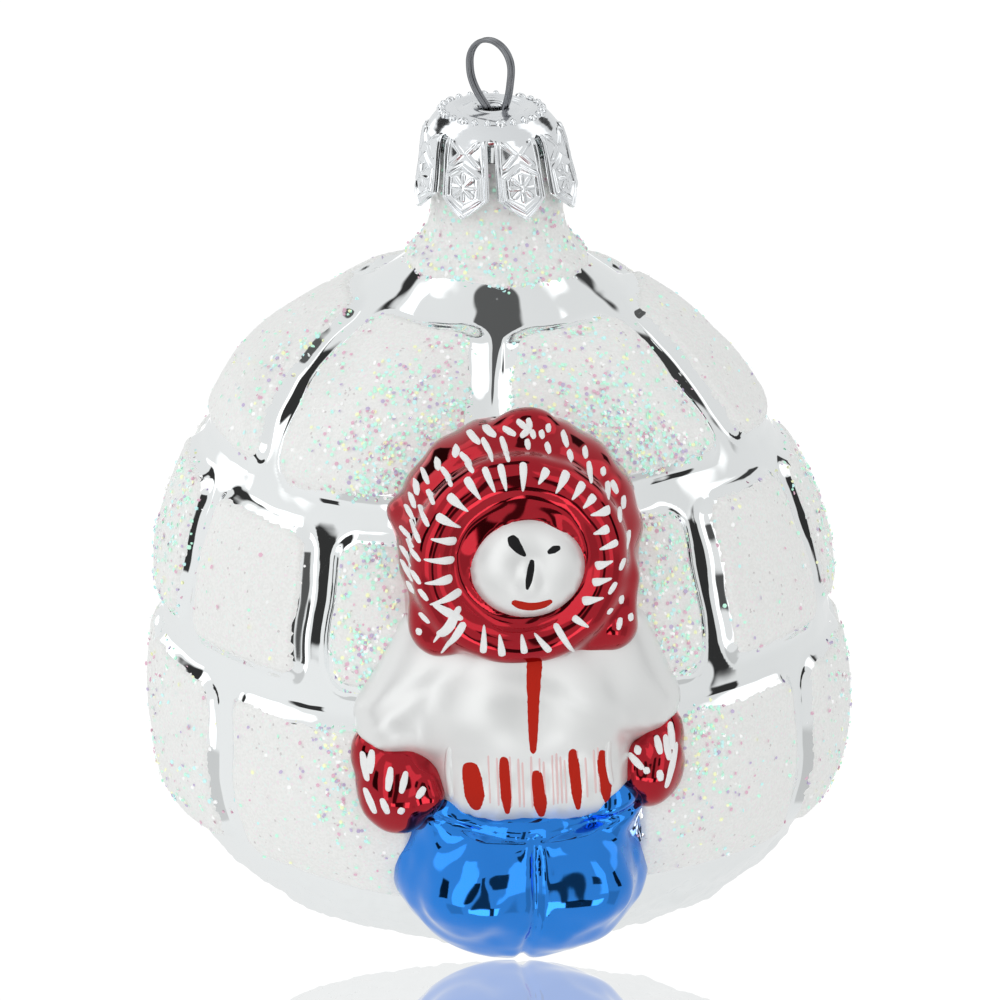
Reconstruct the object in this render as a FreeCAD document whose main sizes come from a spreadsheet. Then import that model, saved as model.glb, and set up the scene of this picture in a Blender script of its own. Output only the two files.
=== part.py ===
"""Igloo tree ornament with a moulded figure, crown cap and wire hanger.

Lengths are in millimetres.  The frame has its origin at the inside top of
the hanging loop, +Z up and the figure facing -Y.  Heights in the sheet are
measured up from the lowest point of the glass; "r" is a distance from the
ornament's axis.
"""
import math
import os

import FreeCAD, Part
import Sketcher

V = FreeCAD.Vector
doc = FreeCAD.newDocument("igloo_ornament")

# --------------------------------------------------------------- sizes
SIZES = [
    ("hang_height", "90.2", "lowest point up to the inside of the loop"),
    ("glass_wall", "0.9", "blown glass"),
    ("block_rise", "1.0", "snow block standing over the channel floor"),
    ("block_corner", "2.5", "corner of a block seen from outside"),
    ("block_round", "0.7", "rounding of a block's outer edge"),
    ("channel_angle_1", "7.5", "upright channel in course 1, degrees"),
    ("channel_angle_2", "5.2", "upright channel in course 2, degrees"),
    ("channel_angle_3", "5.2", "upright channel in course 3, degrees"),
    # neck and collar
    ("neck_r", "6.3", "glass neck"),
    ("neck_top_z", "82.0", ""),
    ("neck_root_z", "72.1", ""),
    ("flare_mid_r", "7.35", ""),
    ("flare_mid_z", "69.2", ""),
    ("flare_end_r", "9.6", ""),
    ("flare_end_z", "67.2", ""),
    ("collar_coat", "0.7", "glitter coat on the neck"),
    ("collar_top_z", "74.8", ""),
    # seats of the three courses, top / middle / bottom of each
    ("seat_1_top_r", "14.1", ""), ("seat_1_top_z", "64.2", ""),
    ("seat_1_mid_r", "21.9", ""), ("seat_1_mid_z", "58.9", ""),
    ("seat_1_low_r", "28.4", ""), ("seat_1_low_z", "50.8", ""),
    ("seat_2_top_r", "29.6", ""), ("seat_2_top_z", "48.2", ""),
    ("seat_2_mid_r", "32.2", ""), ("seat_2_mid_z", "40.2", ""),
    ("seat_2_low_r", "33.2", ""), ("seat_2_low_z", "32.8", ""),
    ("seat_3_top_r", "33.8", ""), ("seat_3_top_z", "29.8", ""),
    ("seat_3_mid_r", "34.1", ""), ("seat_3_mid_z", "21.9", ""),
    ("seat_3_low_r", "31.2", ""), ("seat_3_low_z", "12.8", ""),
    # rounded underside
    ("base_mid_r", "28.2", ""), ("base_mid_z", "7.5", ""),
    ("base_edge_r", "22.4", ""), ("base_edge_z", "3.0", ""),
    ("base_in_r", "11.6", ""), ("base_in_z", "0.55", ""),
    # crown cap
    ("cap_sheet", "0.3", "stamped metal"),
    ("cap_hole_r", "1.75", ""),
    ("cap_top_r", "4.5", ""), ("cap_top_z", "83.7", ""),
    ("cap_shoulder_r", "6.95", ""), ("cap_shoulder_z", "82.5", ""),
    ("cap_hem_r", "8.0", ""), ("cap_tip_z", "74.0", "point of a petal"),
    ("petal_side_z", "76.5", "where a petal starts to taper"),
    ("petal_count", "8", ""),
    ("slot_top_w", "0.8", "slot between petals at its head"),
    ("slot_low_w", "1.4", "slot between petals low down"),
    ("crown_turn", "-6.5", "turn of the cap on the neck, degrees"),
    ("slot_head_z", "81.9", ""),
    ("bead_r", "0.42", "raised dots round the cap top"),
    ("bead_count", "20", ""),
    ("bead_ring_r", "5.6", ""), ("bead_ring_z", "83.05", ""),
    # wire hanger
    ("wire_r", "0.24", ""), ("strand_offset", "0.25", "half the pitch of the strands"),
    ("loop_half_w", "2.65", ""), ("loop_side_r", "6.9", "side of the loop"),
    ("loop_waist_z", "83.3", "where the legs cross the cap's hole"),
    ("leg_end_half_w", "5.1", ""), ("leg_end_z", "73.4", ""),
    ("loop_turn", "-35", "turn of the loop's plane, degrees"),
    # figure: centre (x, forward, z) and half sizes (x, forward, z)
    ("hood_x", "-0.4", ""), ("hood_f", "30.5", ""), ("hood_z", "49.0", ""),
    ("hood_a", "12.3", ""), ("hood_b", "9.3", ""), ("hood_c", "12.6", ""),
    ("ruff_x", "-0.5", ""), ("ruff_f", "37.6", ""), ("ruff_z", "48.8", ""),
    ("ruff_ring_r", "8.4", ""), ("ruff_tube_r", "2.7", ""),
    ("face_f", "37.0", ""), ("face_z", "48.6", ""),
    ("face_a", "5.8", ""), ("face_b", "4.4", ""), ("face_c", "5.6", ""),
    ("torso_x", "0.4", ""), ("torso_f", "30.0", ""), ("torso_z", "31.1", ""),
    ("torso_a", "12.2", ""), ("torso_b", "10.3", ""), ("torso_c", "10.8", ""),
    ("sleeve_x", "11.6", ""), ("sleeve_f", "29.0", ""), ("sleeve_z", "31.2", ""),
    ("sleeve_a", "5.4", ""), ("sleeve_b", "6.2", ""), ("sleeve_c", "9.6", ""),
    ("sleeve_tilt", "14", "degrees"),
    ("hem_r", "9.0", ""), ("hem_f", "31.2", ""), ("hem_z", "25.5", ""), ("hem_h", "3.3", ""),
    ("mitten_l_x", "-12.6", ""), ("mitten_l_f", "32.8", ""), ("mitten_l_z", "24.0", ""),
    ("mitten_l_a", "4.3", ""), ("mitten_r_x", "13.1", ""), ("mitten_r_f", "31.8", ""),
    ("mitten_r_z", "26.1", ""), ("mitten_r_a", "3.5", ""),
    ("mitten_b", "3.6", ""), ("mitten_c", "4.7", ""),
    ("leg_x", "5.6", ""), ("leg_f", "30.9", ""), ("leg_z", "14.2", ""),
    ("leg_a", "7.0", ""), ("leg_b", "7.6", ""), ("leg_c", "9.3", ""), ("leg_tilt", "4", "degrees"),
    ("seat_f", "29.0", ""), ("seat_a", "12.2", ""), ("seat_b", "7.6", ""),
    ("seat_c", "7.6", ""), ("seat_z", "16.6", ""),
]
# Azimuth of every upright channel, from the front (-Y) towards +X, degrees.
JOINTS = {
    1: [-60.5, -3.5, 54.5, 115.5, 177.0, 238.5],
    2: [-37.0, 0.5, 37.5, 72.0, 108.0, 144.0, 180.0, 216.0, 252.0, 288.0],
    3: [-57.5, -19.0, 19.0, 57.5, 92.0, 126.0, 160.0, 200.0, 234.0, 268.0],
}

# This block would lie wholly behind the figure, so the glass has none there.
BEHIND_FIGURE = (3, 2)

sheet = doc.addObject("Spreadsheet::Sheet", "Sizes")
rows = list(SIZES)
for course, azimuths in JOINTS.items():
    for k, azimuth in enumerate(azimuths, 1):
        rows.append((f"joint_{course}_{k}", str(azimuth), "degrees from the front"))
for k, (alias, value, note) in enumerate(rows, 1):
    sheet.set(f"A{k}", alias)
    sheet.set(f"B{k}", value)
    sheet.set(f"C{k}", note)
    sheet.setAlias(f"B{k}", alias)
doc.recompute()


def size(expression):
    """Value of an expression over the sheet."""
    return float(sheet.evalExpression(bind(expression)))


def bind(expression):
    """Expression text with every sheet alias given its full name."""
    text = str(expression)
    for alias in sorted((row[0] for row in rows), key=len, reverse=True):
        text = text.replace(alias, "\0" + str(ALIASES.index(alias)) + "\0")
    for k, alias in enumerate(ALIASES):
        text = text.replace(f"\0{k}\0", f"Sizes.{alias}")
    return text


ALIASES = [row[0] for row in rows]


# ------------------------------------------------------------- helpers
def origin_plane(body, role):
    return next(f for f in body.Origin.OriginFeatures if f.Role == role)


def new_body(name):
    body = doc.addObject("PartDesign::Body", name)
    body.setExpression(".Placement.Base.z", bind("-hang_height"))
    return body


def new_sketch(body, name, role="XZ_Plane"):
    sketch = body.newObject("Sketcher::SketchObject", name)
    sketch.AttachmentSupport = [(origin_plane(body, role), "")]
    sketch.MapMode = "FlatFace"
    return sketch


def fix_point(sketch, geo, pos, point):
    """Tie a sketch point to two sheet expressions."""
    for kind, expression in zip(("DistanceX", "DistanceY"), point):
        value = size(expression)
        if kind == "DistanceX" and str(expression) == "0":
            sketch.addConstraint(Sketcher.Constraint("PointOnObject", geo, pos, -2))
            continue
        k = sketch.addConstraint(Sketcher.Constraint(kind, -1, 1, geo, pos, value))
        if not str(expression).lstrip("-").replace(".", "").isdigit():
            sketch.setExpression(f"Constraints[{k}]", bind(expression))


def sketch_arc(start, mid, end):
    """Arc through three points as the sketcher keeps it, anticlockwise."""
    circle = Part.Arc(start, mid, end).toShape().Curve
    centre = circle.Center
    clockwise = (mid - start).cross(end - mid).z < 0
    a, b = (end, start) if clockwise else (start, end)
    angles = [math.atan2(p.y - centre.y, p.x - centre.x) for p in (a, b)]
    if angles[1] < angles[0]:
        angles[1] += 2 * math.pi
    arc = Part.ArcOfCircle(Part.Circle(centre, V(0, 0, 1), circle.Radius), *angles)
    return arc, clockwise


def outline(sketch, points, closed=True):
    """Chain of lines and three-point arcs; ("arc", mid, end) makes an arc."""
    vec = lambda p: V(size(p[0]), size(p[1]), 0)
    start, here, first = points[0], points[0], None
    steps = points[1:] + ([start] if closed else [])
    ends = []
    for k, step in enumerate(steps):
        last = closed and k == len(steps) - 1
        if step[0] == "arc":
            mid, end = step[1], step[2]
            arc, clockwise = sketch_arc(vec(here), vec(mid), vec(end))
            geo = sketch.addGeometry(arc)
            a, b = (2, 1) if clockwise else (1, 2)
            through = sketch.addGeometry(Part.Point(vec(mid)), True)
            fix_point(sketch, through, 1, mid)
            sketch.addConstraint(Sketcher.Constraint("PointOnObject", through, 1, geo))
        else:
            end = step
            geo = sketch.addGeometry(Part.LineSegment(vec(here), vec(end)))
            a, b = 1, 2
        if ends:
            sketch.addConstraint(Sketcher.Constraint("Coincident", ends[-1][1], ends[-1][2], geo, a))
        else:
            fix_point(sketch, geo, a, start)
            first = (geo, a)
        if last:
            sketch.addConstraint(Sketcher.Constraint("Coincident", geo, b, first[0], first[1]))
        else:
            fix_point(sketch, geo, b, end)
        ends.append((geo, geo, b))
        here = end
    return ends


def revolve(body, sketch, name, angle=None, kind="PartDesign::Revolution"):
    feature = body.newObject(kind, name)
    feature.Profile = sketch
    feature.ReferenceAxis = (sketch, ["V_Axis"])
    feature.Angle = 360
    if angle:
        feature.Midplane = True
        feature.setExpression("Angle", bind(angle))
    return feature


def seat(course, part):
    return (f"seat_{course}_{part}_r", f"seat_{course}_{part}_z")


# ---------------------------------------------------------- glass shell
def seat_arcs():
    return [
        ("arc", ("flare_mid_r", "flare_mid_z"), ("flare_end_r", "flare_end_z")),
        seat(1, "top"), ("arc", seat(1, "mid"), seat(1, "low")),
        seat(2, "top"), ("arc", seat(2, "mid"), seat(2, "low")),
        seat(3, "top"), ("arc", seat(3, "mid"), seat(3, "low")),
        ("arc", ("base_mid_r", "base_mid_z"), ("base_edge_r", "base_edge_z")),
        ("arc", ("base_in_r", "base_in_z"), ("0", "0")),
    ]


def glass_form(name):
    """Solid inside the outer skin of the glass."""
    body = new_body(name)
    sketch = new_sketch(body, name + "_profile")
    outline(sketch, [("0", "neck_top_z"), ("neck_r", "neck_top_z"), ("neck_r", "neck_root_z")]
            + seat_arcs())
    body.Tip = revolve(body, sketch, name + "_turn")
    return body


# Outward direction of the skin at each profile point, for the inside face.
NORMALS = {
    "flare_mid": (0.80, 0.60), "flare_end": (0.45, 0.89), "seat_1_top": (0.50, 0.87),
    "seat_1_mid": (0.65, 0.76), "seat_1_low": (0.88, 0.47), "seat_2_top": (0.93, 0.37),
    "seat_2_mid": (0.98, 0.19), "seat_2_low": (1.0, 0.08), "seat_3_top": (1.0, 0.06),
    "seat_3_mid": (0.99, -0.08), "seat_3_low": (0.87, -0.49), "base_mid": (0.80, -0.60),
    "base_edge": (0.50, -0.87), "base_in": (0.14, -0.99),
}


def inward(point):
    """The same profile point moved in by the wall."""
    if point == ("0", "0"):
        return ("0", "glass_wall")
    across, up = NORMALS[point[0][:-2]]
    return (f"{point[0]} - {across} * glass_wall", f"{point[1]} - {up} * glass_wall")


def glass_shell():
    body = glass_form("glass_shell")
    sketch = new_sketch(body, "glass_bore_profile")
    inner = [("arc", inward(s[1]), inward(s[2])) if s[0] == "arc" else inward(s)
             for s in seat_arcs()]
    bore = "neck_r - glass_wall"
    outline(sketch, [("0", "neck_top_z + 1"), (bore, "neck_top_z + 1"), (bore, "neck_root_z")]
            + inner)
    body.Tip = revolve(body, sketch, "glass_bore", kind="PartDesign::Groove")
    return body


def neck_collar():
    body = new_body("neck_collar")
    sketch = new_sketch(body, "collar_profile")
    outline(sketch, [
        ("neck_r", "collar_top_z"), ("neck_r", "neck_root_z"),
        ("arc", ("flare_mid_r", "flare_mid_z"), ("flare_end_r", "flare_end_z")),
        ("flare_end_r + 0.55 * collar_coat", "flare_end_z + 0.83 * collar_coat"),
        ("arc", ("flare_mid_r + 0.78 * collar_coat", "flare_mid_z + 0.62 * collar_coat"),
         ("neck_r + collar_coat", "neck_root_z + 0.2 * collar_coat")),
        ("neck_r + collar_coat", "collar_top_z - 0.3 * collar_coat"),
    ])
    body.Tip = revolve(body, sketch, "collar_turn")
    return body


# ---------------------------------------------------------- snow blocks
def block(course, k):
    """One raised snow block, between two neighbouring channels."""
    name = f"course_{course}_block_{k}"
    count = len(JOINTS[course])
    left = f"joint_{course}_{k}"
    right = f"joint_{course}_{k + 1}" if k < count else f"(joint_{course}_1 + 360)"
    body = new_body(name + "_pad")
    body.Placement.Rotation = FreeCAD.Rotation(V(0, 0, 1), 1)
    body.setExpression(".Placement.Rotation.Angle", bind(f"({left} + {right}) / 2 - 90"))

    sketch = new_sketch(body, name + "_profile")
    ends = outline(sketch, [seat(course, "top"), ("arc", seat(course, "mid"), seat(course, "low"))],
                   closed=False)
    inner, low_end = ends[0][0], ends[0][2]
    top_end = 3 - low_end
    arc = sketch.Geometry[inner]
    rise = size("block_rise")
    outer = sketch.addGeometry(Part.ArcOfCircle(
        Part.Circle(arc.Center, V(0, 0, 1), arc.Radius + rise), arc.FirstParameter, arc.LastParameter))
    sketch.addConstraint(Sketcher.Constraint("Coincident", outer, 3, inner, 3))
    for end in (top_end, low_end):
        a, b = [sketch.getPoint(g, end) for g in (inner, outer)]
        side = sketch.addGeometry(Part.LineSegment(V(a.x, a.y, 0), V(b.x, b.y, 0)))
        sketch.addConstraint(Sketcher.Constraint("Coincident", side, 1, inner, end))
        sketch.addConstraint(Sketcher.Constraint("Coincident", side, 2, outer, end))
        sketch.addConstraint(Sketcher.Constraint("PointOnObject", inner, 3, side))
        if end == top_end:
            k_rise = sketch.addConstraint(Sketcher.Constraint("Distance", side, rise))
            sketch.setExpression(f"Constraints[{k_rise}]", bind("block_rise"))
    turn = revolve(body, sketch, name + "_turn",
                   angle=f"{right} - {left} - channel_angle_{course}")
    doc.recompute()

    # Round the four corners first, then the edge of the outer face.
    corners = [f"Edge{i}" for i, e in enumerate(turn.Shape.Edges, 1)
               if abs(e.Length - rise) < 1e-3 and e.Curve.TypeId == "Part::GeomLine"]
    rounded = body.newObject("PartDesign::Fillet", name + "_corners")
    rounded.Base = (turn, corners)
    rounded.setExpression("Radius", bind("block_corner"))
    doc.recompute()
    outer_face = max(range(len(rounded.Shape.Faces)), key=lambda i: rounded.Shape.Faces[i].Area)
    softened = body.newObject("PartDesign::Fillet", name + "_edge")
    softened.Base = (rounded, [f"Face{outer_face + 1}"])
    softened.setExpression("Radius", bind("block_round"))
    doc.recompute()
    body.Tip = softened
    return body


# --------------------------------------------------------------- figure
def place(feature, x, forward, z):
    feature.setExpression(".Placement.Base.x", bind(x))
    feature.setExpression(".Placement.Base.y", bind(f"-({forward})"))
    feature.setExpression(".Placement.Base.z", bind(f"{z} - hang_height"))
    return feature


def ellipsoid(name, centre, halves, tilt=None):
    """Solid ellipsoid; halves are across, forward and up."""
    feature = doc.addObject("Part::Ellipsoid", name)
    feature.Angle1, feature.Angle2, feature.Angle3 = -90, 90, 360
    for prop, half in zip(("Radius2", "Radius3", "Radius1"), halves):
        feature.setExpression(prop, bind(half))
    if tilt:
        feature.Placement.Rotation = FreeCAD.Rotation(V(0, 1, 0), 1)
        feature.setExpression(".Placement.Rotation.Angle", bind(tilt))
    return place(feature, *centre)


def fuse(name, shapes):
    feature = doc.addObject("Part::MultiFuse", name)
    feature.Shapes = shapes
    return feature


def cut(name, base, tool):
    feature = doc.addObject("Part::Cut", name)
    feature.Base, feature.Tool = base, tool
    return feature


def figure(skin):
    """Hood, face, parka, mittens and trousers, each seated on the glass."""
    hood_ball = ellipsoid("hood_ball", ("hood_x", "hood_f", "hood_z"), ("hood_a", "hood_b", "hood_c"))
    ruff = doc.addObject("Part::Torus", "hood_ruff")
    ruff.setExpression("Radius1", bind("ruff_ring_r"))
    ruff.setExpression("Radius2", bind("ruff_tube_r"))
    ruff.Placement.Rotation = FreeCAD.Rotation(V(1, 0, 0), 90)
    place(ruff, "ruff_x", "ruff_f", "ruff_z")
    hood_form = fuse("hood_form", [hood_ball, ruff])
    face_form = ellipsoid("face_form", ("ruff_x", "face_f", "face_z"), ("face_a", "face_b", "face_c"))

    torso = ellipsoid("torso", ("torso_x", "torso_f", "torso_z"), ("torso_a", "torso_b", "torso_c"))
    sleeves = [
        ellipsoid("sleeve_left", ("-sleeve_x", "sleeve_f", "sleeve_z"),
                  ("sleeve_a", "sleeve_b", "sleeve_c"), "sleeve_tilt"),
        ellipsoid("sleeve_right", ("sleeve_x", "sleeve_f", "sleeve_z"),
                  ("sleeve_a", "sleeve_b", "sleeve_c"), "-sleeve_tilt"),
    ]
    hem = doc.addObject("Part::Cylinder", "parka_hem")
    hem.setExpression("Radius", bind("hem_r"))
    hem.setExpression("Height", bind("hem_h"))
    place(hem, "torso_x", "hem_f", "hem_z - hem_h")
    parka_form = fuse("parka_form", [torso, hem] + sleeves)

    # Turned half way round as well, which keeps the surface's seam off the cut.
    mitten_left = ellipsoid("mitten_left_form", ("mitten_l_x", "mitten_l_f", "mitten_l_z"),
                            ("mitten_l_a", "mitten_b", "mitten_c"), "188")
    mitten_right = ellipsoid("mitten_right_form", ("mitten_r_x", "mitten_r_f", "mitten_r_z"),
                             ("mitten_r_a", "mitten_b", "mitten_c"), "-8")
    legs = [ellipsoid("leg_" + side, (out + "leg_x", "leg_f", "leg_z"), ("leg_a", "leg_b", "leg_c"),
                      tilt)
            for side, out, tilt in (("left", "-", "leg_tilt"), ("right", "", "-leg_tilt"))]
    rump = ellipsoid("trouser_seat", ("torso_x", "seat_f", "seat_z"), ("seat_a", "seat_b", "seat_c"))
    trouser_form = fuse("trouser_form", legs + [rump])

    upper = fuse("upper_tools", [skin, hood_form, face_form])
    hands = fuse("hand_tools", [upper, mitten_left, mitten_right])
    coat = fuse("coat_tools", [hands, parka_form])
    nodes = {
        "hood": cut("hood", hood_form, fuse("hood_tools", [skin, face_form])),
        "face": cut("face", face_form, skin),
        "mitten_left": cut("mitten_left", mitten_left, skin),
        "mitten_right": cut("mitten_right", mitten_right, skin),
        "parka": cut("parka", parka_form, hands),
        "trousers": cut("trousers", trouser_form, coat),
    }
    envelope = fuse("figure_envelope", [hood_form, face_form, parka_form, mitten_left,
                                        mitten_right, trouser_form])
    return nodes, envelope


# ------------------------------------------------------------ crown cap
def cap_crown():
    body = new_body("cap_crown")
    sheet_in = "cap_sheet"
    sketch = new_sketch(body, "cap_profile")
    outline(sketch, [
        ("cap_hole_r", "cap_top_z"), ("cap_top_r", "cap_top_z"),
        ("cap_shoulder_r", "cap_shoulder_z"), ("cap_hem_r", "cap_tip_z"),
        (f"cap_hem_r - {sheet_in}", "cap_tip_z"),
        (f"cap_shoulder_r - {sheet_in}", f"cap_shoulder_z - 0.8 * {sheet_in}"),
        (f"cap_top_r - 0.2 * {sheet_in}", f"cap_top_z - {sheet_in}"),
        ("cap_hole_r", f"cap_top_z - {sheet_in}"),
    ])
    revolve(body, sketch, "cap_turn")

    slot_sketch = new_sketch(body, "slot_profile")
    reach = "cap_hem_r * 0.3827"
    outline(slot_sketch, [
        ("-slot_top_w / 2", "slot_head_z"), ("arc", ("0", "slot_head_z + slot_top_w / 2"),
                                             ("slot_top_w / 2", "slot_head_z")),
        ("slot_low_w / 2", "petal_side_z"), (reach, "cap_tip_z"), (reach, "cap_tip_z - 1"),
        ("-" + reach, "cap_tip_z - 1"), ("-" + reach, "cap_tip_z"),
        ("-slot_low_w / 2", "petal_side_z"),
    ])
    slot = body.newObject("PartDesign::Pocket", "slot_cut")
    slot.Profile = slot_sketch
    slot.setExpression("Length", bind("cap_hem_r + 1"))
    slots = body.newObject("PartDesign::PolarPattern", "slots")
    slots.Originals = [slot]
    slots.Axis = (origin_plane(body, "Z_Axis"), [""])
    slots.Angle = 360
    slots.setExpression("Occurrences", bind("petal_count"))
    body.Tip = slots
    doc.recompute()

    bead = body.newObject("PartDesign::AdditiveSphere", "bead")
    bead.setExpression("Radius", bind("bead_r"))
    bead.AttachmentSupport = [(origin_plane(body, "XY_Plane"), "")]
    bead.MapMode = "FlatFace"
    bead.setExpression(".AttachmentOffset.Base.x", bind("bead_ring_r"))
    bead.setExpression(".AttachmentOffset.Base.z", bind("bead_ring_z"))
    beads = body.newObject("PartDesign::PolarPattern", "beads")
    beads.Originals = [bead]
    beads.Axis = (origin_plane(body, "Z_Axis"), [""])
    beads.Angle = 360
    beads.setExpression("Occurrences", bind("bead_count"))
    body.Tip = beads
    body.Placement.Rotation = FreeCAD.Rotation(V(0, 0, 1), 1)
    body.setExpression(".Placement.Rotation.Angle", bind("crown_turn"))
    return body


# ---------------------------------------------------------- wire hanger
def strand(name, shift):
    """One strand of the hanger: leg, loop, leg, in a plane of its own."""
    body = new_body(name)
    body.Placement.Rotation = FreeCAD.Rotation(V(0, 0, 1), 1)
    body.setExpression(".Placement.Rotation.Angle", bind("loop_turn"))
    path = new_sketch(body, name + "_path")
    path.setExpression(".AttachmentOffset.Base.z", bind(shift))
    wide = "(hang_height + wire_r - loop_half_w)"

    def side(z):
        """Half width of the loop's side arc at a height below its widest place."""
        return f"loop_half_w - loop_side_r + sqrt(loop_side_r^2 - ({wide} - {z})^2)"

    waist, flank = "loop_waist_z", f"(({wide} + loop_waist_z) / 2)"
    outline(path, [
        ("-leg_end_half_w", "leg_end_z"), (f"-({side(waist)})", waist),
        ("arc", (f"-({side(flank)})", flank), ("-loop_half_w", wide)),
        ("arc", ("0", "hang_height + wire_r"), ("loop_half_w", wide)),
        ("arc", (side(flank), flank), (side(waist), waist)),
        ("leg_end_half_w", "leg_end_z"),
    ], closed=False)
    doc.recompute()
    ring = new_sketch(body, name + "_section", "XY_Plane")
    ring.setExpression(".AttachmentOffset.Base.z", bind("leg_end_z"))
    circle = ring.addGeometry(Part.Circle(V(-size("leg_end_half_w"), -size(shift), 0), V(0, 0, 1),
                                          size("wire_r")))
    k = ring.addConstraint(Sketcher.Constraint("Radius", circle, size("wire_r")))
    ring.setExpression(f"Constraints[{k}]", bind("wire_r"))
    fix_point(ring, circle, 3, ("-leg_end_half_w", f"-({shift})"))
    pipe = body.newObject("PartDesign::AdditivePipe", name + "_pipe")
    pipe.Profile = ring
    pipe.Spine = path
    pipe.Transition = "Round corner"
    body.Tip = pipe
    return body


# ------------------------------------------------------------- assembly
skin_form = glass_form("skin_form")
figure_nodes, figure_envelope = figure(skin_form)
nodes = {"glass_shell": glass_shell(), "neck_collar": neck_collar(), "cap_crown": cap_crown()}
nodes["hanger_strand_front"] = strand("hanger_strand_front", "strand_offset")
nodes["hanger_strand_back"] = strand("hanger_strand_back", "-strand_offset")
nodes.update(figure_nodes)
for course, azimuths in JOINTS.items():
    for k, azimuth in enumerate(azimuths, 1):
        if (course, k) == BEHIND_FIGURE:
            continue
        pad = block(course, k)
        name = f"course_{course}_block_{k}"
        following = azimuths[k] if k < len(azimuths) else azimuths[0] + 360
        turned = [(a + 180) % 360 - 180 for a in (azimuth, following)]
        if min(abs(a) for a in turned) < 40:
            nodes[name] = cut(name, pad, figure_envelope)
        else:
            pad.Label = name
            nodes[name] = pad
doc.recompute()

failed = [o.Name for o in doc.Objects if "Invalid" in o.State or "Error" in o.State]
assert not failed, failed
os.makedirs("parts", exist_ok=True)
for name, node in nodes.items():
    shape = node.Shape
    assert shape.isValid() and shape.Solids, name
    if len(shape.Solids) > 1:
        print(name, "solids:", [round(s.Volume, 2) for s in shape.Solids])
    node.Label = name
    Part.export([node], f"parts/{name}.step")
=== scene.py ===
"""Looks of the glass igloo ornament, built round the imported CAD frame.

Lengths below are in millimetres.  Heights ("z") are measured from the middle
channel of the dome, "f" is the distance forward (towards the figure) and x is
to the viewer's right; to_row() turns them into the row's frame in metres.
"""
import math

import bpy
import numpy as np
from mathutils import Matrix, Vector

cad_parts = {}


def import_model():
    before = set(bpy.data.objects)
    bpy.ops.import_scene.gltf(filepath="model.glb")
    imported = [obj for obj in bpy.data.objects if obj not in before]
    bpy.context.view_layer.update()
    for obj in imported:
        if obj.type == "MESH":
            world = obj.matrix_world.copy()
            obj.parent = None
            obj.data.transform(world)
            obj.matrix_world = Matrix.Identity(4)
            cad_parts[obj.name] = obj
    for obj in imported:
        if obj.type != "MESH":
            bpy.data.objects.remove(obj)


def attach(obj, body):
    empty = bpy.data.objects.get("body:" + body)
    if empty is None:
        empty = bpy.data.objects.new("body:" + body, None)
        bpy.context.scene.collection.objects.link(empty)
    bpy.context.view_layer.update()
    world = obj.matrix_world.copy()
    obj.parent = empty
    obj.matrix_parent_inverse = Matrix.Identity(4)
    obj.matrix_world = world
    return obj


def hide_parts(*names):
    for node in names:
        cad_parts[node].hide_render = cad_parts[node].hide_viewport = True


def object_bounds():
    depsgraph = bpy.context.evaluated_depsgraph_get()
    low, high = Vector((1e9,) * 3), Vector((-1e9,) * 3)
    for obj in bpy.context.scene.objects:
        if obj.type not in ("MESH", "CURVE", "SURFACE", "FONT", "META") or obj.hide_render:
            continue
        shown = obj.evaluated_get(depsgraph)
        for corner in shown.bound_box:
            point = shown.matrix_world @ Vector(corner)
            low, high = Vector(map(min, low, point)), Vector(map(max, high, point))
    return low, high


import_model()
cad_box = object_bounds()
rng = np.random.default_rng(11)
WAIST = -59.3           # the middle channel's height in the row's frame
TAU = 2 * math.pi


def to_row(p):
    """(x, f, z) in millimetres to the row's frame in metres."""
    p = np.asarray(p, float)
    return np.stack([p[..., 0], -p[..., 1], p[..., 2] + WAIST], -1) * 0.001


def smooth(a, b, x):
    t = np.clip((x - a) / (b - a), 0, 1)
    return t * t * (3 - 2 * t)


def bump(x, centre, width):
    return np.exp(-((x - centre) / width) ** 2)


def vnoise(p, scale, seed=0.0):
    """Smooth value noise from -1 to 1 at points p, cells 1/scale across."""
    q = np.asarray(p, float) * scale
    cell = np.floor(q)
    t = q - cell
    t = t * t * (3 - 2 * t)
    out = 0
    for dx in (0, 1):
        for dy in (0, 1):
            for dz in (0, 1):
                c = cell + (dx, dy, dz)
                h = np.sin(c @ (12.9898, 78.233, 37.719) + seed * 17.13) * 43758.5453
                w = (np.where(dx, t[..., 0], 1 - t[..., 0]) * np.where(dy, t[..., 1], 1 - t[..., 1])
                     * np.where(dz, t[..., 2], 1 - t[..., 2]))
                out = out + w * (h - np.floor(h))
    return out * 2 - 1


# --------------------------------------------------------------- meshes
def make_mesh(name, verts, faces, mat, replaces=(), flat=False, body="root"):
    """A mesh object riding on the frame, from (x, f, z) points in mm."""
    mesh = bpy.data.meshes.new(name)
    v = to_row(verts).reshape(-1, 3)
    if body:
        v = np.clip(v, np.array(cad_box[0]) + 1e-6, np.array(cad_box[1]) - 1e-6)
    faces = np.asarray(faces)
    mesh.vertices.add(len(v))
    mesh.vertices.foreach_set("co", v.astype(np.float32).ravel())
    mesh.loops.add(faces.size)
    mesh.loops.foreach_set("vertex_index", faces.astype(np.int32).ravel())
    mesh.polygons.add(len(faces))
    mesh.polygons.foreach_set("loop_start", np.arange(0, faces.size, faces.shape[1], dtype=np.int32))
    mesh.materials.append(mat)
    mesh.update(calc_edges=True)
    mesh.validate()
    mesh.polygons.foreach_set("use_smooth", np.full(len(mesh.polygons), not flat))
    obj = bpy.data.objects.new(name, mesh)
    bpy.context.collection.objects.link(obj)
    if body:
        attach(obj, body)
    if replaces:
        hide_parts(*replaces)
    return obj


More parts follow.
